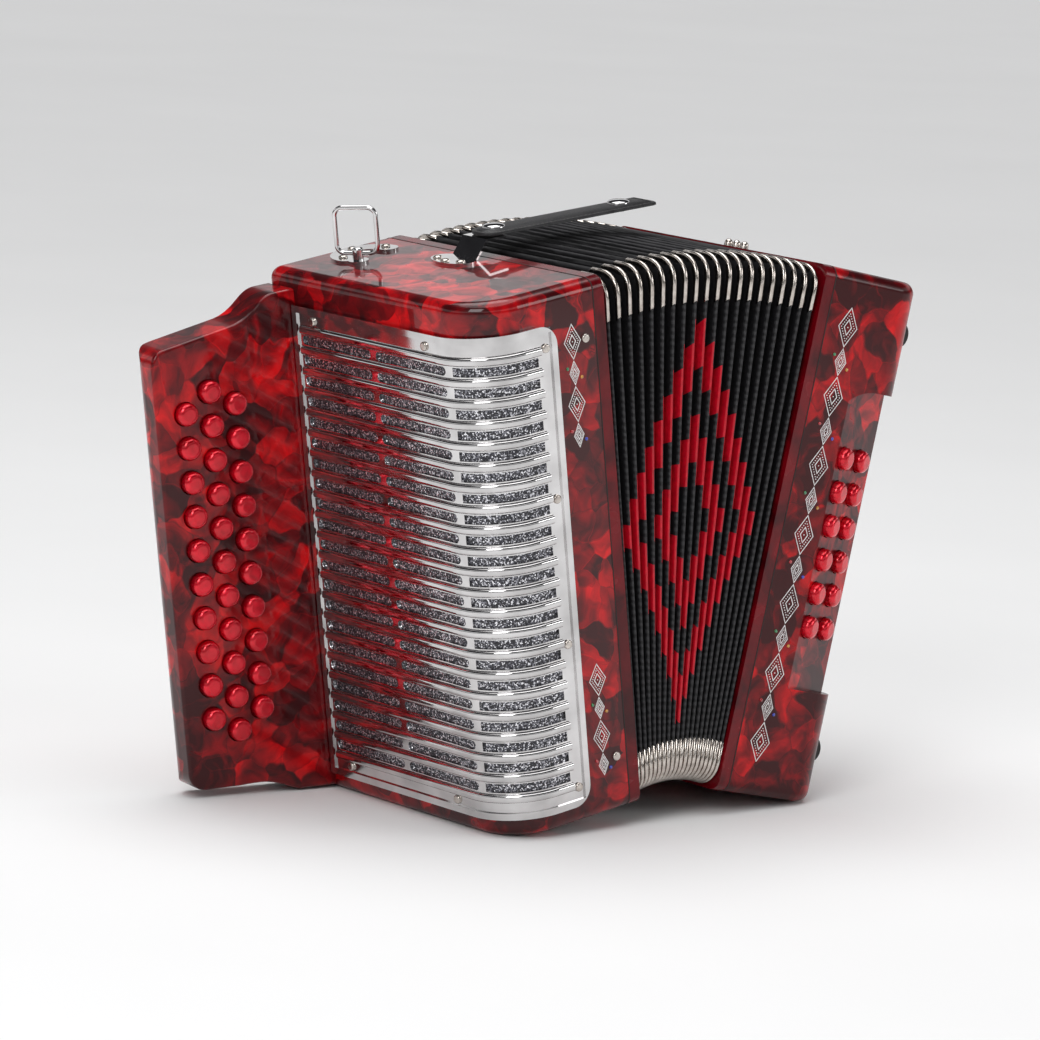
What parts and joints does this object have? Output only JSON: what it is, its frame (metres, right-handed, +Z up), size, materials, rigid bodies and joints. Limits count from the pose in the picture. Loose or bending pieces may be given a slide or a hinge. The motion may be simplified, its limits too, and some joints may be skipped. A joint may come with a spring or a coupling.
{
  "type": "button accordion",
  "caption": "Three-row diatonic button accordion standing with its bellows fanned open, with sprung melody and bass buttons, grille and straps.",
  "frame": {"origin": "middle of the bounding box, on the floor the instrument stands on", "axes": "+X from the treble end to the bass end, +Y from the front to the back, +Z up"},
  "size_m": [0.4408, 0.2038, 0.3536],
  "materials": {
    "celluloid": "deep red pearl celluloid over plywood, polished",
    "chrome": "polished chromium plate",
    "steel": "plated steel",
    "cloth": "grey cloth coated with silver glitter",
    "wood": "bare spruce",
    "bellows": "folded card covered in black cloth, printed lozenge, plated corner guards",
    "leather": "black padded leather, stitched",
    "rubber": "black rubber",
    "red_button": "domed glossy red buttons; their hidden levers share the slot"
  },
  "bodies": {
    "treble_end": {"treble_case": "celluloid", "fingerboard": "celluloid", "grille": "chrome", "grille_cloth": "cloth", "treble_screws_and_axle": "steel", "treble_reed_pan": "wood", "treble_bellows_frame": "celluloid", "top_brackets": "chrome", "bellows": "bellows"},
    "bass_end": {"bass_bellows_frame": "celluloid", "bass_case": "celluloid", "bass_reed_pan": "wood", "bass_hand_strap": "leather", "rubber_feet": "rubber"},
    "melody_button_outer_01": {"melody_button_outer_01": "red_button"},
    "melody_button_outer_02": {"melody_button_outer_02": "red_button"},
    "melody_button_outer_03": {"melody_button_outer_03": "red_button"},
    "melody_button_outer_04": {"melody_button_outer_04": "red_button"},
    "melody_button_outer_05": {"melody_button_outer_05": "red_button"},
    "melody_button_outer_06": {"melody_button_outer_06": "red_button"},
    "melody_button_outer_07": {"melody_button_outer_07": "red_button"},
    "melody_button_outer_08": {"melody_button_outer_08": "red_button"},
    "melody_button_outer_09": {"melody_button_outer_09": "red_button"},
    "melody_button_outer_10": {"melody_button_outer_10": "red_button"},
    "melody_button_middle_01": {"melody_button_middle_01": "red_button"},
    "melody_button_middle_02": {"melody_button_middle_02": "red_button"},
    "melody_button_middle_03": {"melody_button_middle_03": "red_button"},
    "melody_button_middle_04": {"melody_button_middle_04": "red_button"},
    "melody_button_middle_05": {"melody_button_middle_05": "red_button"},
    "melody_button_middle_06": {"melody_button_middle_06": "red_button"},
    "melody_button_middle_07": {"melody_button_middle_07": "red_button"},
    "melody_button_middle_08": {"melody_button_middle_08": "red_button"},
    "melody_button_middle_09": {"melody_button_middle_09": "red_button"},
    "melody_button_middle_10": {"melody_button_middle_10": "red_button"},
    "melody_button_middle_11": {"melody_button_middle_11": "red_button"},
    "melody_button_inner_01": {"melody_button_inner_01": "red_button"},
    "melody_button_inner_02": {"melody_button_inner_02": "red_button"},
    "melody_button_inner_03": {"melody_button_inner_03": "red_button"},
    "melody_button_inner_04": {"melody_button_inner_04": "red_button"},
    "melody_button_inner_05": {"melody_button_inner_05": "red_button"},
    "melody_button_inner_06": {"melody_button_inner_06": "red_button"},
    "melody_button_inner_07": {"melody_button_inner_07": "red_button"},
    "melody_button_inner_08": {"melody_button_inner_08": "red_button"},
    "melody_button_inner_09": {"melody_button_inner_09": "red_button"},
    "melody_button_inner_10": {"melody_button_inner_10": "red_button"},
    "bass_button_front_1": {"bass_button_front_1": "red_button"},
    "bass_button_front_2": {"bass_button_front_2": "red_button"},
    "bass_button_front_3": {"bass_button_front_3": "red_button"},
    "bass_button_front_4": {"bass_button_front_4": "red_button"},
    "bass_button_front_5": {"bass_button_front_5": "red_button"},
    "bass_button_front_6": {"bass_button_front_6": "red_button"},
    "bass_button_back_1": {"bass_button_back_1": "red_button"},
    "bass_button_back_2": {"bass_button_back_2": "red_button"},
    "bass_button_back_3": {"bass_button_back_3": "red_button"},
    "bass_button_back_4": {"bass_button_back_4": "red_button"},
    "bass_button_back_5": {"bass_button_back_5": "red_button"},
    "bass_button_back_6": {"bass_button_back_6": "red_button"},
    "air_button": {"air_button": "red_button"},
    "strap_ring": {"strap_ring": "chrome"},
    "bellows_strap": {"bellows_strap": "leather"}
  },
  "joints": [
    {"name": "bellows_fan", "type": "hinge", "parent": "treble_end", "child": "bass_end", "pos_m": [0.0495, -0.00273, 0.01429], "axis": [0, 1, 0], "range_deg": [-21, 15], "deforming": ["bellows"]},
    {"name": "press_melody_button_outer_01", "type": "hinge", "parent": "treble_end", "child": "melody_button_outer_01", "pos_m": [-0.10946, 0.07747, 0.24313], "axis": [0.1622, 0, -0.9868], "range_deg": [0, 2.28], "stiffness_Nm_per_rad": 0.8, "springref_deg": -2.86},
    {"name": "press_melody_button_outer_02", "type": "hinge", "parent": "treble_end", "child": "melody_button_outer_02", "pos_m": [-0.10615, 0.07747, 0.223], "axis": [0.1622, 0, -0.9868], "range_deg": [0, 2.28], "stiffness_Nm_per_rad": 0.8, "springref_deg": -2.86},
    {"name": "press_melody_button_outer_03", "type": "hinge", "parent": "treble_end", "child": "melody_button_outer_03", "pos_m": [-0.10284, 0.07747, 0.20287], "axis": [0.1622, 0, -0.9868], "range_deg": [0, 2.28], "stiffness_Nm_per_rad": 0.8, "springref_deg": -2.86},
    {"name": "press_melody_button_outer_04", "type": "hinge", "parent": "treble_end", "child": "melody_button_outer_04", "pos_m": [-0.09953, 0.07747, 0.18274], "axis": [0.1622, 0, -0.9868], "range_deg": [0, 2.28], "stiffness_Nm_per_rad": 0.8, "springref_deg": -2.86},
    {"name": "press_melody_button_outer_05", "type": "hinge", "parent": "treble_end", "child": "melody_button_outer_05", "pos_m": [-0.09623, 0.07747, 0.16261], "axis": [0.1622, 0, -0.9868], "range_deg": [0, 2.28], "stiffness_Nm_per_rad": 0.8, "springref_deg": -2.86},
    {"name": "press_melody_button_outer_06", "type": "hinge", "parent": "treble_end", "child": "melody_button_outer_06", "pos_m": [-0.09292, 0.07747, 0.14248], "axis": [0.1622, 0, -0.9868], "range_deg": [0, 2.28], "stiffness_Nm_per_rad": 0.8, "springref_deg": -2.86},
    {"name": "press_melody_button_outer_07", "type": "hinge", "parent": "treble_end", "child": "melody_button_outer_07", "pos_m": [-0.08961, 0.07747, 0.12235], "axis": [0.1622, 0, -0.9868], "range_deg": [0, 2.28], "stiffness_Nm_per_rad": 0.8, "springref_deg": -2.86},
    {"name": "press_melody_button_outer_08", "type": "hinge", "parent": "treble_end", "child": "melody_button_outer_08", "pos_m": [-0.0863, 0.07747, 0.10222], "axis": [0.1622, 0, -0.9868], "range_deg": [0, 2.28], "stiffness_Nm_per_rad": 0.8, "springref_deg": -2.86},
    {"name": "press_melody_button_outer_09", "type": "hinge", "parent": "treble_end", "child": "melody_button_outer_09", "pos_m": [-0.08299, 0.07747, 0.08209], "axis": [0.1622, 0, -0.9868], "range_deg": [0, 2.28], "stiffness_Nm_per_rad": 0.8, "springref_deg": -2.86},
    {"name": "press_melody_button_outer_10", "type": "hinge", "parent": "treble_end", "child": "melody_button_outer_10", "pos_m": [-0.07968, 0.07747, 0.06196], "axis": [0.1622, 0, -0.9868], "range_deg": [0, 2.28], "stiffness_Nm_per_rad": 0.8, "springref_deg": -2.86},
    {"name": "press_melody_button_middle_01", "type": "hinge", "parent": "treble_end", "child": "melody_button_middle_01", "pos_m": [-0.11112, 0.07747, 0.2532], "axis": [0.1622, 0, -0.9868], "range_deg": [0, 2.8], "stiffness_Nm_per_rad": 0.8, "springref_deg": -2.86},
    {"name": "press_melody_button_middle_02", "type": "hinge", "parent": "treble_end", "child": "melody_button_middle_02", "pos_m": [-0.10781, 0.07747, 0.23307], "axis": [0.1622, 0, -0.9868], "range_deg": [0, 2.8], "stiffness_Nm_per_rad": 0.8, "springref_deg": -2.86},
    {"name": "press_melody_button_middle_03", "type": "hinge", "parent": "treble_end", "child": "melody_button_middle_03", "pos_m": [-0.1045, 0.07747, 0.21294], "axis": [0.1622, 0, -0.9868], "range_deg": [0, 2.8], "stiffness_Nm_per_rad": 0.8, "springref_deg": -2.86},
    {"name": "press_melody_button_middle_04", "type": "hinge", "parent": "treble_end", "child": "melody_button_middle_04", "pos_m": [-0.10119, 0.07747, 0.19281], "axis": [0.1622, 0, -0.9868], "range_deg": [0, 2.8], "stiffness_Nm_per_rad": 0.8, "springref_deg": -2.86},
    {"name": "press_melody_button_middle_05", "type": "hinge", "parent": "treble_end", "child": "melody_button_middle_05", "pos_m": [-0.09788, 0.07747, 0.17268], "axis": [0.1622, 0, -0.9868], "range_deg": [0, 2.8], "stiffness_Nm_per_rad": 0.8, "springref_deg": -2.86},
    {"name": "press_melody_button_middle_06", "type": "hinge", "parent": "treble_end", "child": "melody_button_middle_06", "pos_m": [-0.09457, 0.07747, 0.15255], "axis": [0.1622, 0, -0.9868], "range_deg": [0, 2.8], "stiffness_Nm_per_rad": 0.8, "springref_deg": -2.86},
    {"name": "press_melody_button_middle_07", "type": "hinge", "parent": "treble_end", "child": "melody_button_middle_07", "pos_m": [-0.09126, 0.07747, 0.13242], "axis": [0.1622, 0, -0.9868], "range_deg": [0, 2.8], "stiffness_Nm_per_rad": 0.8, "springref_deg": -2.86},
    {"name": "press_melody_button_middle_08", "type": "hinge", "parent": "treble_end", "child": "melody_button_middle_08", "pos_m": [-0.08795, 0.07747, 0.11229], "axis": [0.1622, 0, -0.9868], "range_deg": [0, 2.8], "stiffness_Nm_per_rad": 0.8, "springref_deg": -2.86},
    {"name": "press_melody_button_middle_09", "type": "hinge", "parent": "treble_end", "child": "melody_button_middle_09", "pos_m": [-0.08464, 0.07747, 0.09216], "axis": [0.1622, 0, -0.9868], "range_deg": [0, 2.8], "stiffness_Nm_per_rad": 0.8, "springref_deg": -2.86},
    {"name": "press_melody_button_middle_10", "type": "hinge", "parent": "treble_end", "child": "melody_button_middle_10", "pos_m": [-0.08134, 0.07747, 0.07203], "axis": [0.1622, 0, -0.9868], "range_deg": [0, 2.8], "stiffness_Nm_per_rad": 0.8, "springref_deg": -2.86},
    {"name": "press_melody_button_middle_11", "type": "hinge", "parent": "treble_end", "child": "melody_button_middle_11", "pos_m": [-0.07803, 0.07747, 0.0519], "axis": [0.1622, 0, -0.9868], "range_deg": [0, 2.8], "stiffness_Nm_per_rad": 0.8, "springref_deg": -2.86},
    {"name": "press_melody_button_inner_01", "type": "hinge", "parent": "treble_end", "child": "melody_button_inner_01", "pos_m": [-0.10946, 0.07747, 0.24313], "axis": [0.1622, 0, -0.9868], "range_deg": [0, 3.62], "stiffness_Nm_per_rad": 0.8, "springref_deg": -2.86},
    {"name": "press_melody_button_inner_02", "type": "hinge", "parent": "treble_end", "child": "melody_button_inner_02", "pos_m": [-0.10615, 0.07747, 0.223], "axis": [0.1622, 0, -0.9868], "range_deg": [0, 3.62], "stiffness_Nm_per_rad": 0.8, "springref_deg": -2.86},
    {"name": "press_melody_button_inner_03", "type": "hinge", "parent": "treble_end", "child": "melody_button_inner_03", "pos_m": [-0.10284, 0.07747, 0.20287], "axis": [0.1622, 0, -0.9868], "range_deg": [0, 3.62], "stiffness_Nm_per_rad": 0.8, "springref_deg": -2.86},
    {"name": "press_melody_button_inner_04", "type": "hinge", "parent": "treble_end", "child": "melody_button_inner_04", "pos_m": [-0.09953, 0.07747, 0.18274], "axis": [0.1622, 0, -0.9868], "range_deg": [0, 3.62], "stiffness_Nm_per_rad": 0.8, "springref_deg": -2.86},
    {"name": "press_melody_button_inner_05", "type": "hinge", "parent": "treble_end", "child": "melody_button_inner_05", "pos_m": [-0.09623, 0.07747, 0.16261], "axis": [0.1622, 0, -0.9868], "range_deg": [0, 3.62], "stiffness_Nm_per_rad": 0.8, "springref_deg": -2.86},
    {"name": "press_melody_button_inner_06", "type": "hinge", "parent": "treble_end", "child": "melody_button_inner_06", "pos_m": [-0.09292, 0.07747, 0.14248], "axis": [0.1622, 0, -0.9868], "range_deg": [0, 3.62], "stiffness_Nm_per_rad": 0.8, "springref_deg": -2.86},
    {"name": "press_melody_button_inner_07", "type": "hinge", "parent": "treble_end", "child": "melody_button_inner_07", "pos_m": [-0.08961, 0.07747, 0.12235], "axis": [0.1622, 0, -0.9868], "range_deg": [0, 3.62], "stiffness_Nm_per_rad": 0.8, "springref_deg": -2.86},
    {"name": "press_melody_button_inner_08", "type": "hinge", "parent": "treble_end", "child": "melody_button_inner_08", "pos_m": [-0.0863, 0.07747, 0.10222], "axis": [0.1622, 0, -0.9868], "range_deg": [0, 3.62], "stiffness_Nm_per_rad": 0.8, "springref_deg": -2.86},
    {"name": "press_melody_button_inner_09", "type": "hinge", "parent": "treble_end", "child": "melody_button_inner_09", "pos_m": [-0.08299, 0.07747, 0.08209], "axis": [0.1622, 0, -0.9868], "range_deg": [0, 3.62], "stiffness_Nm_per_rad": 0.8, "springref_deg": -2.86},
    {"name": "press_melody_button_inner_10", "type": "hinge", "parent": "treble_end", "child": "melody_button_inner_10", "pos_m": [-0.07968, 0.07747, 0.06196], "axis": [0.1622, 0, -0.9868], "range_deg": [0, 3.62], "stiffness_Nm_per_rad": 0.8, "springref_deg": -2.86},
    {"name": "press_bass_button_front_1", "type": "slide", "parent": "bass_end", "child": "bass_button_front_1", "axis": [-0.3669, 0.9272, 0.0757], "range_m": [0, 0.004], "stiffness_N_per_m": 250, "springref_m": -0.004},
    {"name": "press_bass_button_front_2", "type": "slide", "parent": "bass_end", "child": "bass_button_front_2", "axis": [-0.3669, 0.9272, 0.0757], "range_m": [0, 0.004], "stiffness_N_per_m": 250, "springref_m": -0.004},
    {"name": "press_bass_button_front_3", "type": "slide", "parent": "bass_end", "child": "bass_button_front_3", "axis": [-0.3669, 0.9272, 0.0757], "range_m": [0, 0.004], "stiffness_N_per_m": 250, "springref_m": -0.004},
    {"name": "press_bass_button_front_4", "type": "slide", "parent": "bass_end", "child": "bass_button_front_4", "axis": [-0.3669, 0.9272, 0.0757], "range_m": [0, 0.004], "stiffness_N_per_m": 250, "springref_m": -0.004},
    {"name": "press_bass_button_front_5", "type": "slide", "parent": "bass_end", "child": "bass_button_front_5", "axis": [-0.3669, 0.9272, 0.0757], "range_m": [0, 0.004], "stiffness_N_per_m": 250, "springref_m": -0.004},
    {"name": "press_bass_button_front_6", "type": "slide", "parent": "bass_end", "child": "bass_button_front_6", "axis": [-0.3669, 0.9272, 0.0757], "range_m": [0, 0.004], "stiffness_N_per_m": 250, "springref_m": -0.004},
    {"name": "press_bass_button_back_1", "type": "slide", "parent": "bass_end", "child": "bass_button_back_1", "axis": [-0.3669, 0.9272, 0.0757], "range_m": [0, 0.004], "stiffness_N_per_m": 250, "springref_m": -0.004},
    {"name": "press_bass_button_back_2", "type": "slide", "parent": "bass_end", "child": "bass_button_back_2", "axis": [-0.3669, 0.9272, 0.0757], "range_m": [0, 0.004], "stiffness_N_per_m": 250, "springref_m": -0.004},
    {"name": "press_bass_button_back_3", "type": "slide", "parent": "bass_end", "child": "bass_button_back_3", "axis": [-0.3669, 0.9272, 0.0757], "range_m": [0, 0.004], "stiffness_N_per_m": 250, "springref_m": -0.004},
    {"name": "press_bass_button_back_4", "type": "slide", "parent": "bass_end", "child": "bass_button_back_4", "axis": [-0.3669, 0.9272, 0.0757], "range_m": [0, 0.004], "stiffness_N_per_m": 250, "springref_m": -0.004},
    {"name": "press_bass_button_back_5", "type": "slide", "parent": "bass_end", "child": "bass_button_back_5", "axis": [-0.3669, 0.9272, 0.0757], "range_m": [0, 0.004], "stiffness_N_per_m": 250, "springref_m": -0.004},
    {"name": "press_bass_button_back_6", "type": "slide", "parent": "bass_end", "child": "bass_button_back_6", "axis": [-0.3669, 0.9272, 0.0757], "range_m": [0, 0.004], "stiffness_N_per_m": 250, "springref_m": -0.004},
    {"name": "press_air_button", "type": "slide", "parent": "bass_end", "child": "air_button", "axis": [0, -1, 0], "range_m": [0, 0.005], "stiffness_N_per_m": 300, "springref_m": -0.004},
    {"name": "strap_ring_swing", "type": "hinge", "parent": "treble_end", "child": "strap_ring", "pos_m": [-0.09622, 0.05227, 0.32121], "axis": [0.5518, -0.829, 0.0907], "range_deg": [-65, 65]},
    {"name": "bellows_strap_lift", "type": "hinge", "parent": "treble_end", "child": "bellows_strap", "pos_m": [-0.04687, 0.00527, 0.33541], "axis": [0, -1, 0], "range_deg": [0, 60]}
  ]
}
